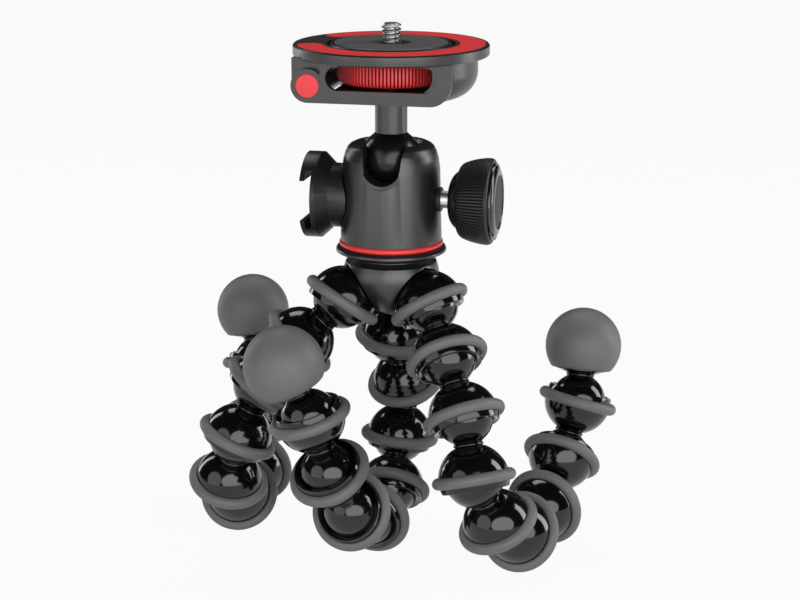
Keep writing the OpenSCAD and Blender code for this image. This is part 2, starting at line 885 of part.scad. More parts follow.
// The two red caps on the ends of the pin
module pin_caps() {
    color(signal_red)
        for (y = [-1, 1])
            translate([-pin_x, y * (cheek_y + cheek_t - pin_cap_in), pin_z])
                rotate([-90 * y, 0, 0])
                    cylinder(d = pin_cap_d, h = pin_cap_in + pin_cap_out);
}

// The C shape of the inlay, thicker all round by a gap
module inlay_shape(gap, h) {
    start = inlay_heading + inlay_open / 2;
    rotate([0, 0, start])
        rotate_extrude(angle = 360 - inlay_open)
            translate([inlay_r1 - gap, 0])
                square([inlay_w + 2 * gap, h]);
    for (end = [start, start - inlay_open])
        rotate([0, 0, end])
            translate([inlay_mid_r, 0, 0])
                cylinder(d = inlay_w + 2 * gap - fit_gap, h = h);
}

// The platform disc with its hinge block, open for inlay, pad, screw and pin
module platform() {
    block_h = plate_z - pin_z;
    block_half = cheek_y - block_gap;
    color(head_grey)
        difference() {
            union() {
                translate([0, 0, plate_z])
                    cylinder(d1 = plate_d - 2 * plate_bevel, d2 = plate_d, h = plate_bevel);
                translate([0, 0, plate_z + plate_bevel])
                    cylinder(d = plate_d, h = plate_t - 2 * plate_bevel);
                translate([0, 0, plate_top - plate_bevel])
                    cylinder(d1 = plate_d, d2 = plate_d - 2 * plate_bevel, h = plate_bevel);
                translate([-pin_x, block_half, pin_z])
                    rotate([90, 0, 0])
                        linear_extrude(2 * block_half)
                            union() {
                                translate([-block_x1, 0])
                                    square([block_x1 + block_x2, block_h + plate_bevel]);
                                circle(r = boss_r - flip_gap);
                            }
            }
            translate([0, 0, plate_top - inlay_t])
                inlay_shape(fit_gap, inlay_t + cut);
            translate([0, 0, pad_z])
                cylinder(r = pad_r + pad_groove, h = pad_in + cut);
            translate([0, 0, plate_z - cut])
                cylinder(d = screw_neck_d + 2 * run_gap, h = plate_t + 2 * cut);
            translate([-pin_x, cheek_y, pin_z])
                rotate([90, 0, 0])
                    cylinder(d = pin_d + 2 * run_gap, h = 2 * cheek_y);
        }
}

// The red C-shaped inlay
module red_inlay() {
    color(signal_red)
        translate([0, 0, plate_top - inlay_t + fit_gap])
            inlay_shape(0, inlay_t);
}

// The rubber pad under the camera
module rubber_pad() {
    color(dark_grey)
        translate([0, 0, pad_z])
            difference() {
                union() {
                    cylinder(r = pad_r, h = pad_in);
                    translate([0, 0, pad_in])
                        cylinder(r1 = pad_r, r2 = pad_r - pad_out, h = pad_out);
                }
                translate([0, 0, -cut])
                    cylinder(r = screw_recess_r, h = pad_in + pad_out + 2 * cut);
            }
}

// The camera screw, fixed in the thumbwheel
module camera_screw() {
    thread_z = pad_z + clip_t + 2 * fit_gap;
    color(steel) {
        translate([0, 0, wheel_z])
            cylinder(d = screw_neck_d, h = thread_z - wheel_z + cut);
        translate([0, 0, thread_z])
            cylinder(d = screw_d, h = plate_top + pad_out + screw_out - thread_z);
    }
}

// The clip that keeps the screw in the disc
module screw_clip() {
    color(steel)
        translate([0, 0, pad_z + fit_gap])
            difference() {
                cylinder(d = clip_d, h = clip_t);
                translate([0, 0, -cut])
                    cylinder(d = screw_neck_d + 2 * fit_gap, h = clip_t + 2 * cut);
            }
}

// The ribbed thumbwheel on the camera screw
module thumbwheel() {
    r = wheel_d / 2;
    color(signal_red)
        translate([0, 0, wheel_z])
            difference() {
                rotate_extrude()
                    union() {
                        square([r - wheel_edge_r, wheel_h]);
                        translate([0, wheel_edge_r])
                            square([r, wheel_h - wheel_edge_r]);
                        translate([r - wheel_edge_r, wheel_edge_r])
                            circle(r = wheel_edge_r);
                    }
                for (i = [1:rib_count])
                    rotate([0, 0, i * 360 / rib_count])
                        translate([r, 0, -cut])
                            cylinder(r = rib_h, h = wheel_h + 2 * cut);
                translate([0, 0, -cut])
                    cylinder(d = screw_neck_d + 2 * fit_gap, h = wheel_h + 2 * cut);
            }
}

hub();
hub_rings();
pan_flange();
pan_ring();
pan_bolt();
pan_washer();
base_plug();
housing();
upper_seat();
brake_cup();
ball();
stem();
lock_shaft();
shaft_bush();
knob_body();
knob_grip();
knob_cap();
accessory_shoe();
shoe_screw();
cradle();
stem_screw();
hinge_pin();
pin_caps();
platform();
red_inlay();
rubber_pad();
camera_screw();
screw_clip();
thumbwheel();
for (n = [0:len(legs) - 1]) {
    for (i = [1:segments])
        on_leg(legs[n], i) segment();
    on_leg(legs[n], segments + 1) foot();
    on_leg(legs[n], segments + 1) foot_cap();
}
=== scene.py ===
"""A flexible leg tripod with a ball head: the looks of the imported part, in metres, +Z up."""
import json
import math

import bmesh
import bpy
from mathutils import Matrix, Vector


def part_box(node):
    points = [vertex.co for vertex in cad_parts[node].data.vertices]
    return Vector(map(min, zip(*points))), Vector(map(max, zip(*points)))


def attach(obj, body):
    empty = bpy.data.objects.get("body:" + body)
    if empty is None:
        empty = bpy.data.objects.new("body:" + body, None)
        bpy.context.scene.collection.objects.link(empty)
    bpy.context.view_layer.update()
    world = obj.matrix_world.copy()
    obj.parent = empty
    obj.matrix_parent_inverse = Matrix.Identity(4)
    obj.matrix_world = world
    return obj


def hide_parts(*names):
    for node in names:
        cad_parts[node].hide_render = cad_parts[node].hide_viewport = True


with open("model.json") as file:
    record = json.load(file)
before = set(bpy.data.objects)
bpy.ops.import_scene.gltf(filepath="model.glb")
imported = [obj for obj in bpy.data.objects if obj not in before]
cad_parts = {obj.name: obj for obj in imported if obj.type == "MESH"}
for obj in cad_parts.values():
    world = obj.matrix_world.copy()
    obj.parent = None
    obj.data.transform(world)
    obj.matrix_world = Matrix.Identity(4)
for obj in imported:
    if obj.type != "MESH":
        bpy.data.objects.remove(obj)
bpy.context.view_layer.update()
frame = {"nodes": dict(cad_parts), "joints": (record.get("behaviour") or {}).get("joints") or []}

# Leg segments
# Glossy black moulded plastic: a ball, a short neck with a bead, and a dome that holds the next
# ball. One outline is spun for all of them and stands between two neighbouring joints.
MM = 0.001
WELD = 0.001 * MM
LEGS = ("right", "back", "left")
SEGMENTS = 8
PITCH = 19
BALL_R, SOCKET_R, DOME_R = 9, 9.2, 10.8
NECK_R, NECK_Z = 4.2, 8
BEAD_R, BEAD_Z = 0.46, 8.6
RING_SEAT_R, RING_HALF, RING_SEAT_ANGLE = 10.2, 1.75, 9.8
LIP_H = 3.5
DRIFT_SCALE, GRAIN_HEIGHT = 140, 0.0001
joint_at = {joint["name"]: Vector(joint["pos_m"]) for joint in frame["joints"] if "pos_m" in joint}


class Wire:
    """A socket in a material's node tree that takes arithmetic."""

    def __init__(self, tree, socket=None):
        self.tree = tree
        self.socket = socket

    def node(self, kind, settings=None, sockets=None, out=0):
        """A new node in the same tree; settings come before sockets."""
        made = self.tree.nodes.new(kind)
        for name, value in (settings or {}).items():
            setattr(made, name, value)
        for name, value in (sockets or {}).items():
            if isinstance(value, Wire):
                self.tree.links.new(value.socket, made.inputs[name])
            else:
                made.inputs[name].default_value = value
        return Wire(self.tree, made.outputs[out] if made.outputs else None)

    def maths(self, operation, other):
        return self.node("ShaderNodeMath", {"operation": operation}, {0: self, 1: other})

    def __add__(self, other):
        return self.maths("ADD", other)

    def __mul__(self, other):
        return self.maths("MULTIPLY", other)

    __radd__ = __add__


def grey(level):
    """A linear colour from an sRGB level of 0 to 255."""
    value = ((level / 255 + 0.055) / 1.055) ** 2.4
    return (value, value, value, 1)


def noise(wire, scale, detail=2.0):
    """Noise over the object's own coordinates, 0 to 1."""
    place = wire.node("ShaderNodeTexCoord", out="Object")
    sockets = {"Vector": place, "Scale": scale, "Detail": detail}
    return wire.node("ShaderNodeTexNoise", sockets=sockets)


def surface(name, dark, light, rough, spread, grain, depth, shine=0.5, metal=0.0):
    """A material whose colour and roughness drift, with a fine grain in its normal."""
    made = bpy.data.materials.new(name)
    made.use_nodes = True
    made.node_tree.nodes.clear()
    wire = Wire(made.node_tree)
    drift = noise(wire, DRIFT_SCALE)
    fine = noise(wire, grain, 3.0)
    mixing = {"Factor": drift * 0.6 + fine * 0.4, 6: dark, 7: light}
    relief = {"Strength": depth, "Distance": GRAIN_HEIGHT, "Height": fine}
    sockets = {
        "Base Color": wire.node("ShaderNodeMix", {"data_type": "RGBA"}, mixing, 2),
        "Roughness": drift * spread + (rough - spread / 2),
        "Normal": wire.node("ShaderNodeBump", sockets=relief),
        "Metallic": metal,
        "Specular IOR Level": shine,
    }
    shader = wire.node("ShaderNodeBsdfPrincipled", sockets=sockets)
    wire.node("ShaderNodeOutputMaterial", sockets={"Surface": shader})
    return made


def arc(centre, radius, start, end, steps):
    """Points of an arc in the (r, z) half-plane, its angles in degrees up from the r axis."""
    turns = [math.radians(start + (end - start) * i / steps) for i in range(steps + 1)]
    return [(centre[0] + radius * math.cos(t), centre[1] + radius * math.sin(t)) for t in turns]


def spun(outline, closed=False, steps=64):
    """A shape from an (r, z) outline in millimetres, spun round the Z axis."""
    shape = bmesh.new()
    points = [shape.verts.new((r * MM, 0, z * MM)) for r, z in outline]
    ends = points[1:] + points[:1] if closed else points[1:]
    edges = [shape.edges.new(pair) for pair in zip(points, ends)]
    bmesh.ops.spin(
        shape, geom=points + edges, axis=(0, 0, 1), cent=(0, 0, 0), angle=math.tau, steps=steps,
        use_merge=True,
    )
    bmesh.ops.remove_doubles(shape, verts=shape.verts, dist=WELD)
    bmesh.ops.recalc_face_normals(shape, faces=shape.faces)
    return shape


def facing(centre, aim):
    """The matrix that puts a shape's origin at a centre and turns its +Z to an aim."""
    turn = Vector((0, 0, 1)).rotation_difference(aim).to_matrix().to_4x4()
    return Matrix.Translation(centre) @ turn


def piece(name, shape, look, body, nodes, place=None, sharp=32):
    """An object from a finished shape, on its body and in its slot, in place of CAD nodes."""
    if place is not None:
        bmesh.ops.transform(shape, matrix=place, verts=shape.verts)
    mesh = bpy.data.meshes.new(name)
    shape.to_mesh(mesh)
    shape.free()
    mesh.shade_smooth()
    mesh.set_sharp_from_angle(angle=math.radians(sharp))
    mesh.materials.append(look)
    made = bpy.data.objects.new(name, mesh)
    bpy.context.scene.collection.objects.link(made)
    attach(made, body)
    if nodes:
        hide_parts(*nodes)
    return made


leg_black = surface("leg_black", grey(4), grey(8), 0.11, 0.06, 1500, 0.02, shine=0.55)
neck_outline = (
    arc((0, 0), BALL_R, -90, 58, 24)
    + [(NECK_R + 0.15, NECK_Z)]
    + arc((NECK_R, BEAD_Z), BEAD_R, -90, 90, 6)
)
mouth_outline = (
    [(RING_SEAT_R, -RING_HALF), (RING_SEAT_R, RING_HALF)]
    + arc((0, 0), DOME_R, RING_SEAT_ANGLE, 17, 4)
    + [(10.24, LIP_H - 0.1), (10.08, LIP_H), (9.75, LIP_H), (9.6, LIP_H - 0.06)]
    + arc((0, 0), SOCKET_R, 19, -90, 20)
)
segment_outline = (
    neck_outline
    + [(NECK_R + 0.2, 9.2)]
    + arc((0, PITCH), DOME_R, -63, -RING_SEAT_ANGLE, 24)
    + [(r, z + PITCH) for r, z in mouth_outline]
)
for leg in LEGS:
    for i in range(1, SEGMENTS + 1):
        start = joint_at[f"{leg}_bend_{i}"]
        end = joint_at[f"{leg}_bend_{i + 1}"]
        name = f"{leg}_segment_{i}"
        place = facing(start, end - start)
        piece(f"{name}_shell", spun(segment_outline), leg_black, name, [name], place)

# Grip rings
# Matt grey rubber, moulded onto the seat of every cup, three of them on the hub's sockets. Each is
# a round section, flat where it sits, spun into a ring.
SOCKET_DIP = math.radians(55)
RING_C, RING_TUBE_R, RING_FLAT = 11.05, 1.8, 118


def socket_place(leg):
    """The place of a hub socket, at the leg's first joint and dipping outward."""
    joint = joint_at[f"{leg}_bend_1"]
    out = Vector((joint.x, joint.y, 0)).normalized() * math.cos(SOCKET_DIP)
    return facing(joint, out - Vector((0, 0, math.sin(SOCKET_DIP))))


grip_rubber = surface("grip_rubber", grey(92), grey(108), 0.52, 0.12, 4200, 0.26, shine=0.4)
ring_outline = arc((RING_C, 0), RING_TUBE_R, -RING_FLAT, RING_FLAT, 20)
for leg in LEGS:
    for i in range(1, SEGMENTS + 1):
        start = joint_at[f"{leg}_bend_{i}"]
        end = joint_at[f"{leg}_bend_{i + 1}"]
        name = f"{leg}_segment_{i}"
        place = facing(end, end - start)
        piece(f"{name}_ring", spun(ring_outline, True), grip_rubber, name, [], place)
    piece(
        f"{leg}_hub_ring", spun(ring_outline, True), grip_rubber, "base", ["hub_rings"],
        socket_place(leg),
    )

# Feet
# A black core with the last ball, its neck and a dish, and a round cap of the same grey rubber,
# flat under the dish. Both are spun; the aims are the last ones of the legs as they are posed.
FOOT_AIM = {"right": (80, -75), "back": (-165, -65), "left": (136, -77)}
FOOT_R, FOOT_LEN, FOOT_SEAT = 12.3, 18.2, 10.4
DISH_R, DISH_TOP = 8.1, FOOT_SEAT - 0.05
foot_outline = (
    neck_outline
    + [(5.1, 9.1), (6.2, 9.5), (7.4, 9.95), (DISH_R, 10.2), (DISH_R, DISH_TOP), (0, DISH_TOP)]
)
cap_outline = (
    [(0, FOOT_SEAT), (8.9, FOOT_SEAT), (9.3, FOOT_SEAT + 0.06)]
    + arc((0, FOOT_LEN), FOOT_R, -37.5, 90, 36)
)
for leg in LEGS:
    heading, dip = (math.radians(angle) for angle in FOOT_AIM[leg])
    flat = math.cos(dip)
    aim = Vector((math.cos(heading) * flat, math.sin(heading) * flat, -math.sin(dip)))
    place = facing(joint_at[f"{leg}_bend_{SEGMENTS + 1}"], aim)
    body = f"{leg}_foot"
    piece(f"{leg}_foot_core", spun(foot_outline), leg_black, body, [body], place)
    cap = [f"{leg}_foot_cap"]
    piece(f"{leg}_foot_ball", spun(cap_outline), grip_rubber, body, cap, place)

# Hub
# The same black plastic, a little duller: three sockets under a skirt with an apron between each
# two, round a core. Sockets and core are spun, and the skirt's edges follow arches round the sockets.
ARCH_R, APRON_T, APRON_STEPS = 11.3, 1.1, 40
SOCKET_OUT, SOCKET_DROP = 16, 13.8
SOCKET_TURNS = (-150, -30, 90)
PAN_LIFT = 4.9
BOLT_HOLE_R = 3.1
top = joint_at["pan"] - Vector((0, 0, PAN_LIFT * MM))
hub_place = Matrix.Translation(top)


def rounded(made, width, segments=3, angle=35):
    """Rounds the sharp edges of a piece."""
    bevel = made.modifiers.new("edges", "BEVEL")
    bevel.limit_method = "ANGLE"
    bevel.angle_limit = math.radians(angle)
    bevel.width = width * MM
    bevel.segments = segments
    bevel.harden_normals = True


hub_black = surface("hub_black", grey(12), grey(19), 0.36, 0.1, 2600, 0.06, shine=0.85)
skirt_outline = [(12.2, 0), (12.3, -0.7), (12.9, -1.4)] + arc((3.6, -6.4), 11.4, 22, -55, 26)
skirt_shape = bmesh.new()
for socket_turn in SOCKET_TURNS:
    rows = []
    for r, z in skirt_outline:
        reach = r * r + SOCKET_OUT**2 + (z + SOCKET_DROP) ** 2 - ARCH_R**2
        arch = math.acos(min(1, reach / (2 * r * SOCKET_OUT)))
        first = math.radians(socket_turn) + arch
        width = math.tau / len(SOCKET_TURNS) - 2 * arch
        turns = [first + width * j / APRON_STEPS for j in range(APRON_STEPS + 1)]
        corners = [Vector((r * math.cos(t), r * math.sin(t), z)) * MM for t in turns]
        rows.append([skirt_shape.verts.new(corner) for corner in corners])
    for upper, lower in zip(rows, rows[1:]):
        for j in range(APRON_STEPS):
            skirt_shape.faces.new((upper[j], lower[j], lower[j + 1], upper[j + 1]))
bmesh.ops.remove_doubles(skirt_shape, verts=skirt_shape.verts, dist=WELD)
skirt = piece("hub_skirt", skirt_shape, hub_black, "base", ["hub"], hub_place)
wall = skirt.modifiers.new("wall", "SOLIDIFY")
wall.thickness = APRON_T * MM
wall.offset = -1
rounded(skirt, 0.45, 3, 50)
core_outline = [
    (0, -9.1), (BOLT_HOLE_R, -9.1), (BOLT_HOLE_R, 0), (11.9, 0), (11.9, -3), (10.4, -5.8), (8.3, -8),
    (6.9, -10), (6.3, -12), (6.2, -15), (6, -17), (5.4, -17.6), (0, -17.6),
]
piece("hub_core", spun(core_outline), hub_black, "base", [], hub_place)
socket_outline = arc((0, 0), DOME_R, -90, -RING_SEAT_ANGLE, 30) + mouth_outline
for leg in LEGS:
    place = socket_place(leg)
    piece(f"{leg}_hub_socket", spun(socket_outline), leg_black, "base", [], place)

# Pan flange and pan ring
# A black flange with an undercut rim and, on it, a thin glossy red ring that shows as a line under
# the head. Both are spun discs, held by the pan bolt.
FLANGE_H = 3
PAN_RING_R, PAN_RING_HALF = 15.3, 0.9
flange_outline = [
    (BOLT_HOLE_R, 0), (14.4, 0), (14.9, 0.3), (16.2, 1), (16.8, 1.1), (17.15, 1.3), (17.25, 1.6),
    (17.2, 1.95), (17, 2.4), (16.65, 2.78), (16.2, 2.97), (15.9, FLANGE_H), (BOLT_HOLE_R, FLANGE_H),
]
flange_black = surface("flange_black", grey(14), grey(22), 0.34, 0.1, 2600, 0.06, shine=0.8)
piece(
    "pan_flange_disc", spun(flange_outline, True, 128), flange_black, "base",
    ["pan_flange"], hub_place, 50,
)
red_plastic = surface(
    "red_plastic", (0.72, 0.034, 0.038, 1), (0.79, 0.046, 0.05, 1), 0.36, 0.08, 2400, 0.04, shine=0.45
)
pan_ring_outline = (
    [(BOLT_HOLE_R, 0)]
    + arc((PAN_RING_R, PAN_RING_HALF), PAN_RING_HALF, -90, 90, 12)
    + [(BOLT_HOLE_R, 2 * PAN_RING_HALF)]
)
piece(
    "pan_ring_disc", spun(pan_ring_outline, True, 128), red_plastic, "base",
    ["pan_ring"], Matrix.Translation(top + Vector((0, 0, FLANGE_H * MM))), 50,
)

# Head housing
# A grey anodised aluminium shell with a tight shoulder and the drop notch for the stem. It is the
# CAD solid, its outside moved to a fuller outline and its edges rounded, with a fine blasted grain.
SHOULDER_R, SHOULDER_H = 8.6, 8
OUTSIDE_REACH = 0.08
# Depth below the top and radius of the housing's outside
HOUSING_OUTSIDE = (
    (0, 11.4), (0.5, 12.5), (1.2, 13.3), (2.7, 14.1), (4.7, 14.7), (7.9, 15.15), (12, 15.35), (18, 15.4),
    (30.4, 15.75),
)


def blended(pairs, at):
    """The value at a place between the pairs of a list."""
    for (one, low), (two, high) in zip(pairs, pairs[1:]):
        if at <= two:
            return low + (high - low) * (at - one) / (two - one)
    return pairs[-1][1]


def copied(node):
    """A shape of a CAD node, its doubled vertices merged and its flat faces joined."""
    source = frame["nodes"][node]
    shape = bmesh.new()
    shape.from_mesh(source.data)
    bmesh.ops.transform(shape, matrix=source.matrix_world, verts=shape.verts)
    bmesh.ops.remove_doubles(shape, verts=shape.verts, dist=2 * WELD)
    bmesh.ops.dissolve_limit(
        shape, angle_limit=math.radians(0.5), verts=shape.verts, edges=shape.edges, delimit=set()
    )
    bmesh.ops.recalc_face_normals(shape, faces=shape.faces)
    return shape


head_grey = surface("head_grey", grey(67), grey(79), 0.34, 0.08, 5200, 0.16, shine=0.3, metal=0.9)
housing_shape = copied("housing")
housing_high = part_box("housing")[1]
for vert in housing_shape.verts:
    depth = (housing_high.z - vert.co.z) / MM
    radius = vert.co.xy.length / MM
    round_h = max(0, SHOULDER_H - depth)
    cad_radius = housing_high.y / MM - SHOULDER_R + math.sqrt(SHOULDER_R**2 - round_h**2)
    if abs(radius - cad_radius) < OUTSIDE_REACH:
        vert.co.xy *= blended(HOUSING_OUTSIDE, depth) / radius
housing = piece("housing_shell", housing_shape, head_grey, "head", ["housing"])
rounded(housing, 0.6, 4)

# Ball and stem
# A black satin ball in the housing's seats and a grey round stem that stands on its flat. Both are
# spun; the stem's spigot sits in the ball and the cradle's screw in the stem.
HEAD_BALL_R, FLAT_ANGLE, FLAT_Z = 9.5, 54, 8.2
STEM_R, STEM_TOP = 4.98, 19.6
ball_black = surface("ball_black", grey(9), grey(15), 0.24, 0.08, 2600, 0.05, shine=0.45, metal=0.2)
ball_place = Matrix.Translation(joint_at["ball_tilt"])
ball_outline = (
    arc((0, 0), HEAD_BALL_R, -90, FLAT_ANGLE, 40)
    + [(5.35, 7.95), (5.05, FLAT_Z), (3.1, FLAT_Z), (3.1, 1.1), (0, 1.1)]
)
piece("ball_sphere", spun(ball_outline, steps=96), ball_black, "ball", ["ball"], ball_place)
stem_outline = [
    (0, 1.2), (3, 1.2), (3, 8.25), (4.75, 8.25), (STEM_R, 8.45), (STEM_R, 19.4), (4.8, STEM_TOP),
    (2.05, STEM_TOP), (2.05, 10.55), (0, 10.55),
]
piece("stem_post", spun(stem_outline, steps=96), head_grey, "cradle", ["stem"], ball_place)

# Lock knob
# A steel shaft in a dark bush carries a black bowl, a rubber sleeve with ribs along it and a lipped
# end cap with a matt face. All are spun round the shaft's axis, and the ribs are pressed in; the
# grooves between them are a darker black, a painted shade.
RIBS, RIB_DEPTH, RIB_INNER, RIB_END = 84, 0.6, 10.4, 30.9
axle = facing(Vector((0, 0, joint_at["lock_turn"].z)), Vector((1, 0, 0)))
steel = surface("steel", grey(206), grey(224), 0.4, 0.08, 3000, 0.03, metal=1.0)
shaft_outline = [(0, 5), (0.9, 5), (2.7, 7.7), (2.7, 22.3), (0, 22.3)]
piece("lock_shaft_rod", spun(shaft_outline), steel, "lock", ["lock_shaft"], axle)
inner_plastic = surface("inner_plastic", grey(24), grey(34), 0.5, 0.1, 2600, 0.08, shine=0.4)
bush_outline = [(2.8, 10.25), (3.8, 10.25), (3.8, 15.85), (3.65, 16), (2.8, 16)]
piece(
    "shaft_bush_sleeve", spun(bush_outline, True), inner_plastic, "head",
    ["shaft_bush"], axle,
)
knob_black = surface("knob_black", grey(8), grey(14), 0.17, 0.06, 2600, 0.03, shine=0.6)
body_outline = (
    [(2.75, 18.6), (4.4, 18.6)]
    + arc((4.4, 24), 5.4, -84, -20, 12)
    + [(9.7, 22.3), (9.3, 22.35), (9.3, 31.35), (0, 31.35), (0, 22.4), (2.75, 22.4)]
)
piece("knob_core", spun(body_outline, steps=96), knob_black, "lock", ["knob_body"], axle)
knob_rubber = surface("knob_rubber", grey(18), grey(27), 0.46, 0.12, 3600, 0.14, shine=0.36)
grip_outline = [
    (9.35, 21.7), (9.9, 21.6), (10.6, 21.9), (11.3, 22.5), (11.75, 23.2), (12.25, 24.5), (12.7, 26),
    (13.05, 27.7), (13.3, 29.4), (13.4, RIB_END), (13.05, 31), (13.05, 31.1), (13.25, 31.2),
    (13.2, 31.6), (12.8, 32), (12.3, 32.15), (9.35, 32.15),
]


def ribbed(shape, count, inner, end, depth):
    """Presses grooves along the axis outside a radius and below an end, and gives the faces deep in the
    grooves a second, darker material: painted shade.
    """
    for vert in shape.verts:
        radius = vert.co.xy.length
        if radius > inner * MM and vert.co.z < (end + 0.01) * MM:
            turn = math.atan2(vert.co.y, vert.co.x)
            groove = max(0.0, math.cos(count * turn)) * depth * MM
            vert.co.xy *= (radius - groove) / radius
    for face in shape.faces:
        middle = face.calc_center_median()
        deep = math.cos(count * math.atan2(middle.y, middle.x)) > 0.3
        if deep and middle.xy.length > inner * MM and middle.z < end * MM:
            face.material_index = 1
    return shape


sleeve_shape = ribbed(spun(grip_outline, True, RIBS * 8), RIBS, RIB_INNER, RIB_END, RIB_DEPTH)
sleeve = piece(
    "knob_sleeve", sleeve_shape, knob_rubber, "lock", ["knob_grip"], axle, 50
)
# The grooves' faces get a darker black than the rubber: painted shade in the grooves. The knob's end
# face wears it too, as a matt black.
groove_shade_and_matte_black = surface("groove_shade_and_matte_black", grey(5), grey(9), 0.6, 0.1, 3600, 0.1)
sleeve.data.materials.append(groove_shade_and_matte_black)
end_cap_outline = [
    (0, 31.4), (11.3, 31.4), (11.6, 32.2), (11.85, 32.35), (11.9, 32.7), (11.8, 32.95), (11.55, 33),
    (11.45, 32.85), (11.3, 32.85), (11.1, 33.15), (10.5, 33.5), (9.6, 33.82), (8.7, 33.95), (8.5, 33.9),
    (8.35, 33.7), (8.1, 33.5), (0, 33.5),
]
end_cap = spun(end_cap_outline, steps=96)
piece("knob_end_cap", end_cap, knob_black, "lock", ["knob_cap"], axle)
face_outline = [(0, 33.5), (8.2, 33.5), (8.15, 33.65), (0, 33.78)]
piece("knob_face", spun(face_outline, steps=96), groove_shade_and_matte_black, "lock", [], axle)

# Accessory shoe
# Black satin plastic with two hooked rails, screwed to the left of the housing. It is the CAD
# solid with its edges rounded.
shoe_plastic = surface("shoe_plastic", grey(16), grey(24), 0.38, 0.1, 3000, 0.1, shine=0.42)
shoe_shape = copied("accessory_shoe")
shoe = piece("shoe_body", shoe_shape, shoe_plastic, "head", ["accessory_shoe"])
rounded(shoe, 0.3)

# Cradle and hinge caps
# The bowl on the stem with a flat cheek and a finger slot on each side, in the head's grey metal,
# and the two red caps that close the hinge pin's ends.
PIN_CAP_OUT = 18.5
cradle = piece("cradle_body", copied("cradle"), head_grey, "cradle", ["cradle"])
rounded(cradle, 0.25)
hinge = joint_at["platform_flip"]
pin_cap_outline = [(0, 0), (3.55, 0), (3.55, 0.5), (3.4, 0.62), (3.1, 0.65), (0, 0.65)]
for side_name, way in (("front", -1), ("back", 1)):
    seat = Vector((hinge.x, way * PIN_CAP_OUT * MM, hinge.z))
    piece(
        f"pin_cap_{side_name}", spun(pin_cap_outline), red_plastic, "cradle",
        ["pin_caps"], facing(seat, Vector((0, way, 0))),
    )

# Platform
# The grey disc with its hinge block, the red C-shaped inlay let into its top, and the rubber pad in
# a thin rim round the screw. Disc and inlay are the CAD solids, round-edged; pad and rim are spun.
INLAY_GAP = 0.2
PAD_R, PAD_HOLE_R, PAD_H = 17.4, 6, 2.1
disc = piece("platform_disc", copied("platform"), head_grey, "platform", ["platform"])
rounded(disc, 0.3)
inlay_red = surface(
    "inlay_red", (0.84, 0.034, 0.038, 1), (0.9, 0.042, 0.046, 1), 0.65, 0.1, 4200, 0.16, shine=0.12
)
inlay_shape = copied("red_inlay")
for vert in inlay_shape.verts:
    walls = [face.normal for face in vert.link_faces if abs(face.normal.z) < 0.5]
    outward = sum(walls, Vector()).normalized()
    vert.co -= outward * INLAY_GAP * MM
inlay = piece("inlay_strip", inlay_shape, inlay_red, "platform", ["red_inlay"])
rounded(inlay, 0.15)
pad_rubber = surface("pad_rubber", grey(72), grey(92), 0.75, 0.12, 5200, 0.4, shine=0.2)
pad_outline = [
    (PAD_HOLE_R, 0), (PAD_R, 0), (PAD_R, 1.8), (17.2, 2.05), (16.9, PAD_H), (6.5, PAD_H), (6.15, 2),
    (PAD_HOLE_R, 1.8),
]
rim_outline = [(17.65, 0), (18.9, 0), (18.9, 1.1), (18.6, 1.6), (18.2, 1.95), (17.95, 2), (17.65, 1.8)]
pad_place = Matrix.Translation((0, 0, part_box("rubber_pad")[0].z))
piece(
    "pad_disc", spun(pad_outline, True, 128), pad_rubber, "platform", ["rubber_pad"],
    pad_place,
)
piece("pad_rim", spun(rim_outline, True, 128), head_grey, "platform", [], pad_place)

# Camera screw and thumbwheel
# A steel quarter-inch screw with its thread, and the red ribbed wheel that turns it, seen through
# the finger slots; the wheel's grooves are a darker red, a painted shade. The thread is one tooth
# wound up a helix round the core.
WHEEL_RIBS, WHEEL_RIB_DEPTH, WHEEL_RIB_INNER = 92, 0.75, 14.9
WHEEL_H, WHEEL_EDGE_R, WHEEL_HOLE_R = 7.6, 1.6, 2.55
THREAD_PITCH, THREAD_TURNS, THREAD_STEPS = 1.27, 5.2, 48
THREAD_TIP, THREAD_FOOT = 0.45, 0.9
screw_low, screw_high = (corner.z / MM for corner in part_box("camera_screw"))
screw_neck = pad_place.translation.z / MM + THREAD_FOOT
screw_outline = [
    (0, screw_low), (2.5, screw_low), (2.5, screw_neck), (2.35, screw_high - 0.5), (2.1, screw_high),
    (0, screw_high),
]
screw_shape = spun(screw_outline)
thread_rise = THREAD_PITCH * THREAD_TURNS
tooth_low = screw_high - THREAD_TIP - thread_rise
tooth_outline = [(2.2, -0.5), (3.1, -0.1), (3.1, 0.1), (2.2, 0.5)]
tooth = [screw_shape.verts.new((r * MM, 0, (tooth_low + z) * MM)) for r, z in tooth_outline]
tooth_edges = [screw_shape.edges.new(pair) for pair in zip(tooth, tooth[1:] + tooth[:1])]
steps = int(THREAD_TURNS * THREAD_STEPS)
bmesh.ops.spin(
    screw_shape, geom=tooth + tooth_edges, axis=(0, 0, 1), cent=(0, 0, 0),
    angle=math.tau * THREAD_TURNS, steps=steps, dvec=(0, 0, thread_rise / steps * MM),
)
bmesh.ops.holes_fill(screw_shape, edges=screw_shape.edges, sides=4)
bmesh.ops.recalc_face_normals(screw_shape, faces=screw_shape.faces)
screw_steel = surface("screw_steel", grey(128), grey(150), 0.36, 0.1, 3000, 0.05, metal=1.0)
piece("camera_screw_thread", screw_shape, screw_steel, "screw", ["camera_screw"])
wheel_outline = (
    [(WHEEL_HOLE_R, 0), (14, 0)]
    + arc((14.8, WHEEL_EDGE_R), WHEEL_EDGE_R, -90, 0, 8)
    + [(16.4, 7.1), (16.2, 7.45), (15.9, WHEEL_H), (WHEEL_HOLE_R, WHEEL_H)]
)
wheel_spun = spun(wheel_outline, True, WHEEL_RIBS * 8)
wheel_shape = ribbed(wheel_spun, WHEEL_RIBS, WHEEL_RIB_INNER, WHEEL_H, WHEEL_RIB_DEPTH)
wheel = piece(
    "thumbwheel_ribs", wheel_shape, red_plastic, "screw", ["thumbwheel"],
    Matrix.Translation((0, 0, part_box("thumbwheel")[0].z)), 50,
)
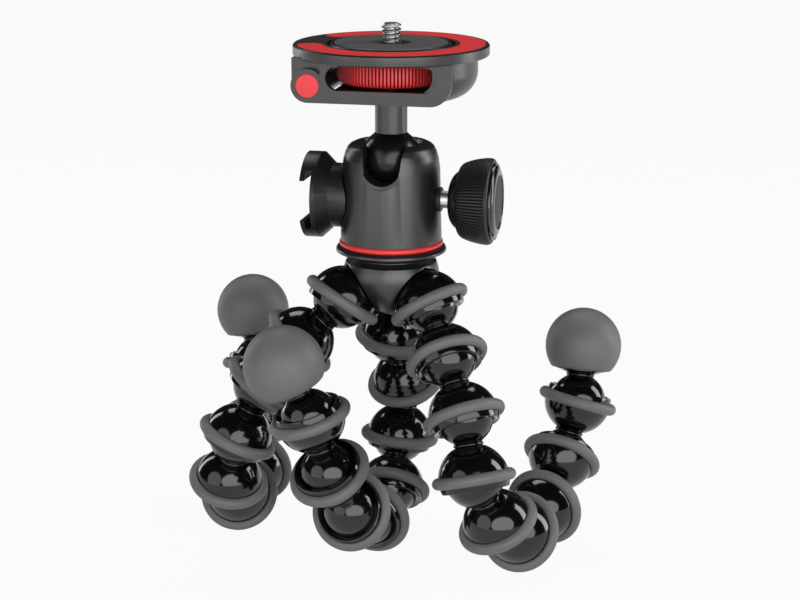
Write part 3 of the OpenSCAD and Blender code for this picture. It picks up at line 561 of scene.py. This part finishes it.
# The grooves' faces get a darker red than the crests: painted shade in the grooves.
painted_groove_shade_red = surface("painted_groove_shade_red", (0.3, 0.009, 0.012, 1), (0.36, 0.013, 0.016, 1), 0.5, 0.1, 2400, 0.04)
wheel.data.materials.append(painted_groove_shade_red)

# Inner pieces
# The bolt, washer, plug, seats, screws, pin and clip stay as the CAD made them, in bright or dark
# steel or in dark plastic.
dark_steel = surface("dark_steel", grey(40), grey(54), 0.42, 0.1, 3000, 0.05, metal=1.0)
INNER = {
    steel: ("pan_bolt", "pan_washer"),
    dark_steel: ("hinge_pin", "screw_clip", "shoe_screw", "stem_screw"),
    inner_plastic: ("base_plug", "upper_seat", "brake_cup"),
}
for look, names in INNER.items():
    for name in names:
        for slot in frame["nodes"][name].material_slots:
            slot.link = "OBJECT"
            slot.material = look

# Floor, lights and camera
# A plain white floor fills the view and keeps a soft shadow. Round soft boxes stand near the camera
# and to its left, strips light the edges from both sides and a box lights the top from behind.
FLOOR_HALF, FLOOR_GREY, FLOOR_GLOW = 8, 0.55, 0.94
AZIMUTH, ELEVATION, DISTANCE = math.radians(12.5), math.radians(15), 0.629
TARGET_DROP = 15.8
WORLD_LIGHT = 0.03
floor_shape = bmesh.new()
bmesh.ops.create_grid(floor_shape, x_segments=1, y_segments=1, size=FLOOR_HALF)
floor_mesh = bpy.data.meshes.new("floor")
floor_shape.to_mesh(floor_mesh)
floor_shape.free()
floor = bpy.data.objects.new("floor", floor_mesh)
floor_white = bpy.data.materials.new("floor_white")
floor_white.use_nodes = True
floor_white.node_tree.nodes.clear()
wire = Wire(floor_white.node_tree)
paint = {
    "Base Color": (FLOOR_GREY, FLOOR_GREY, FLOOR_GREY, 1), "Roughness": 0.9, "Specular IOR Level": 0.1
}
painted = wire.node("ShaderNodeBsdfPrincipled", sockets=paint)
bright = wire.node("ShaderNodeEmission", sockets={"Strength": 1.0})
rays = [f"Is {kind} Ray" for kind in ("Camera", "Glossy", "Transmission")]
seen = sum(wire.node("ShaderNodeLightPath", out=ray) for ray in rays)
blend = wire.node("ShaderNodeMixShader", sockets={0: seen * FLOOR_GLOW, 1: painted, 2: bright})
wire.node("ShaderNodeOutputMaterial", sockets={"Surface": blend})
floor_mesh.materials.append(floor_white)
bpy.context.scene.collection.objects.link(floor)

target = top - Vector((0, 0, TARGET_DROP * MM))


def toward(turn, rise):
    """A direction from the object, turned to the right from the camera and raised off the floor."""
    level = math.cos(rise)
    return Vector((math.sin(AZIMUTH + turn) * level, -math.cos(AZIMUTH + turn) * level, math.sin(rise)))


# Each soft box: degrees right of the camera, degrees up, distance, width, height, radiance
SOFT_BOXES = {
    "key": (14, 11, 0.9, 1.3, 0.84, 3.5),
    "left_fill": (-50, 11, 0.9, 0.84, 0.76, 1.6),
    "right_strip": (100, 14, 0.9, 0.3, 0.9, 6),
    "left_strip": (-130, 14, 0.9, 0.16, 0.8, 4.5),
    "top_back": (180, 58, 1.1, 0.9, 0.4, 3.6),
}
for name, (turn, rise, distance, wide, high, radiance) in SOFT_BOXES.items():
    lamp = bpy.data.lights.new(name, "AREA")
    lamp.shape = "ELLIPSE" if name in ("key", "left_fill") else "RECTANGLE"
    lamp.size = wide
    lamp.size_y = high
    area = wide * high * (math.pi / 4 if lamp.shape == "ELLIPSE" else 1)
    lamp.energy = radiance * math.pi * area
    aim = toward(math.radians(turn), math.radians(rise))
    box = bpy.data.objects.new(name, lamp)
    box.location = target + aim * distance
    box.rotation_euler = (-aim).to_track_quat("-Z", "Y").to_euler()
    box.visible_camera = False
    bpy.context.scene.collection.objects.link(box)

world = bpy.data.worlds.new("studio")
world.use_nodes = True
world.node_tree.nodes["Background"].inputs["Color"].default_value = (1, 1, 1, 1)
world.node_tree.nodes["Background"].inputs["Strength"].default_value = WORLD_LIGHT
bpy.context.scene.world = world

back = toward(0, ELEVATION)
lens = bpy.data.cameras.new("camera")
lens.lens = 90
lens.sensor_width = 36
lens.shift_x = 0.011
lens.shift_y = 0.0025
lens.clip_start = 0.01
camera = bpy.data.objects.new("camera", lens)
camera.location = target + back * DISTANCE
camera.rotation_euler = (-back).to_track_quat("-Z", "Y").to_euler()
bpy.context.scene.collection.objects.link(camera)
bpy.context.scene.camera = camera
bpy.context.scene.view_settings.view_transform = "Standard"
